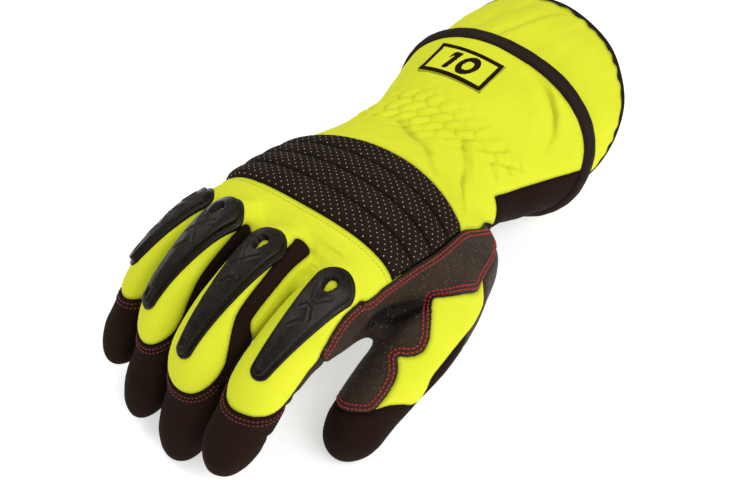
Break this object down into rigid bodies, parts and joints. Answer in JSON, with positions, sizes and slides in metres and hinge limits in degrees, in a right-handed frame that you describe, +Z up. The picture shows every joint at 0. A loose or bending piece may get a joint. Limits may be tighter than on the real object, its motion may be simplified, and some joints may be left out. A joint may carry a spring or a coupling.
{
  "type": "extrication glove",
  "caption": "Right-hand extrication glove in bright yellow cloth, dark leather and black rubber finger guards, with padded knuckle band and flared gauntlet.",
  "frame": {"origin": "middle of the footprint's bounding box, on the surface the glove lies on", "axes": "+Z up, back of the hand upwards; +Y from the fingertips to the cuff; +X to the thumb side"},
  "size_m": [0.1638, 0.3268, 0.0972],
  "materials": {
    "yellow_cloth": "matt high-visibility stretch cloth",
    "black_cloth": "matt black suede-like cloth",
    "knit": "padded black mesh knit with pale dots",
    "leather": "dark grained synthetic leather with red double stitching",
    "rubber": "glossy moulded rubber"
  },
  "bodies": {
    "root": {"knuckle_band": "knit", "back_panel": "yellow_cloth", "wrist_panel": "yellow_cloth", "thumb_back": "yellow_cloth", "thumb_saddle": "leather", "index_tip": "black_cloth", "middle_tip": "black_cloth", "ring_tip": "black_cloth", "little_tip": "black_cloth", "thumb_tip": "black_cloth", "fourchette_index_middle": "black_cloth", "fourchette_middle_ring": "black_cloth", "fourchette_ring_little": "black_cloth", "cuff_palm": "black_cloth", "palm_panel": "leather", "index_guard": "rubber", "middle_guard": "rubber", "ring_guard": "rubber", "little_guard": "rubber", "label_patch": "black_cloth", "hem_roll": "black_cloth", "gauntlet": "yellow_cloth", "rim_binding": "black_cloth"}
  },
  "joints": []
}
